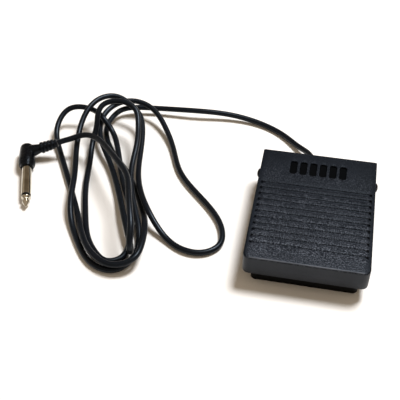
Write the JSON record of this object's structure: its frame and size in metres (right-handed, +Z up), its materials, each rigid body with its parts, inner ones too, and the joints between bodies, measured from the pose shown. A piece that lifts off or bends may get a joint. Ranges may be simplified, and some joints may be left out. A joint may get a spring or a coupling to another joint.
{
  "type": "sustain pedal",
  "caption": "Small keyboard foot switch: ribbed sprung treadle hinged on a base tray, microswitch inside, loosely wound lead with a right-angle jack plug.",
  "frame": {"origin": "on the ground, under the middle of the pedal itself, without its lead and plug", "axes": "+Z up, +X to the right of a player facing the pedal, -Y the toe end where the foot presses, +Y the hinge end where the lead leaves"},
  "size_m": [0.2372, 0.1628, 0.032],
  "materials": {
    "shell_plastic": "moulded fine-grain satin, blue-black",
    "base_plastic": "smooth moulded black",
    "switch_plastic": "satin moulded phenolic black",
    "switch_cover_plastic": "satin moulded red",
    "sole_rubber": "matt moulded black rubber",
    "lead_jacket": "satin extruded flexible PVC, black",
    "plug_plastic": "semi-gloss moulded black",
    "black_steel": "black-oxide steel, polished domed heads",
    "bright_steel": "bright zinc-plated steel",
    "plate_steel": "mill-finish steel strip",
    "plug_metal": "polished nickel plate",
    "terminal_brass": "bright stamped brass",
    "wire_white": "satin white insulation",
    "wire_red": "satin red insulation"
  },
  "bodies": {
    "base": {"base_tray": "base_plastic", "rubber_sole": "sole_rubber", "ballast_plate": "plate_steel", "ballast_screw_1": "bright_steel", "ballast_screw_2": "bright_steel", "pivot_pin_left": "black_steel", "pivot_pin_right": "black_steel", "return_spring": "bright_steel", "stop_pad_left": "sole_rubber", "stop_pad_right": "sole_rubber", "switch_body": "switch_plastic", "switch_cover": "switch_cover_plastic", "switch_screw_1": "bright_steel", "switch_screw_2": "bright_steel", "terminal_common": "terminal_brass", "terminal_open": "terminal_brass", "terminal_closed": "terminal_brass", "cord_strain_relief": "sole_rubber", "lead_inner": "lead_jacket", "cord_clamp": "base_plastic", "clamp_screw_left": "bright_steel", "clamp_screw_right": "bright_steel", "wire_tip": "wire_white", "wire_sleeve": "wire_red", "cord_out": "lead_jacket", "cord_winding": "lead_jacket", "cord_loop": "lead_jacket", "cord_tail": "lead_jacket", "plug_housing": "plug_plastic", "plug_boot": "sole_rubber", "plug_sleeve": "plug_metal", "plug_insulator": "base_plastic", "plug_tip": "plug_metal"},
    "treadle": {"treadle": "shell_plastic"},
    "switch_lever": {"switch_lever": "bright_steel"},
    "switch_plunger": {"switch_plunger": "bright_steel"}
  },
  "joints": [
    {"name": "treadle_hinge", "type": "hinge", "parent": "base", "child": "treadle", "pos_m": [0, 0.0315, 0.017], "axis": [1, 0, 0], "range_deg": [0, 3.2], "stiffness_Nm_per_rad": 2.1, "springref_deg": -3.32, "deforming": ["return_spring"]},
    {"name": "switch_lever_hinge", "type": "hinge", "parent": "base", "child": "switch_lever", "pos_m": [0.014, 0.0065, 0.0149], "axis": [1, 0, 0], "range_deg": [0, 7.8]},
    {"name": "switch_plunger_slide", "type": "slide", "parent": "base", "child": "switch_plunger", "axis": [0, 0, -1], "range_m": [0, 0.0007]}
  ],
  "couplings": [
    {"joint": "switch_lever_hinge", "follows": "treadle_hinge", "ratio": 2.33},
    {"joint": "switch_plunger_slide", "follows": "treadle_hinge", "m_per_rad": 0.0117}
  ]
}
